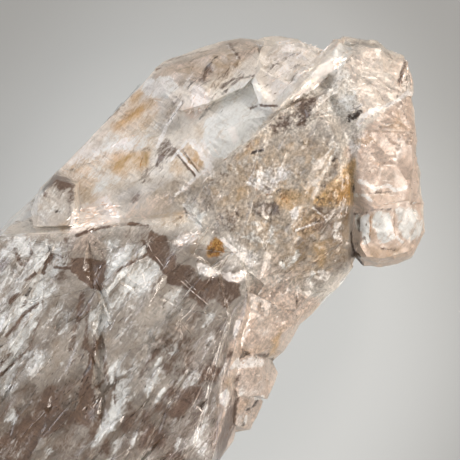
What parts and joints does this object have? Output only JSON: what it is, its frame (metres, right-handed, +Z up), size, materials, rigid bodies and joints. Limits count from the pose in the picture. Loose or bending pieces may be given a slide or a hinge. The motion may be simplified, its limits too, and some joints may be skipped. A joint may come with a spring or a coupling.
{
  "type": "quartz crystal specimen",
  "caption": "Lying etched quartz crystal: a flattened prism with a pointed end, fused to a rough, fractured body with lobes and a stout crown. A display specimen.",
  "frame": {"origin": "under the middle of the crystal's outline, on the flat back face that it lies on", "axes": "+X along the growth axis, from the pointed end to the crown; +Y towards the long straight edge; +Z up, out of the broad front face"},
  "size_m": [0.0968, 0.0404, 0.0237],
  "materials": {
    "quartz": "natural crystal faces, etched and fractured, clear to hazy, pinkish smoky with iron stains"
  },
  "bodies": {
    "root": {"quartz_crystal": "quartz"}
  },
  "joints": []
}
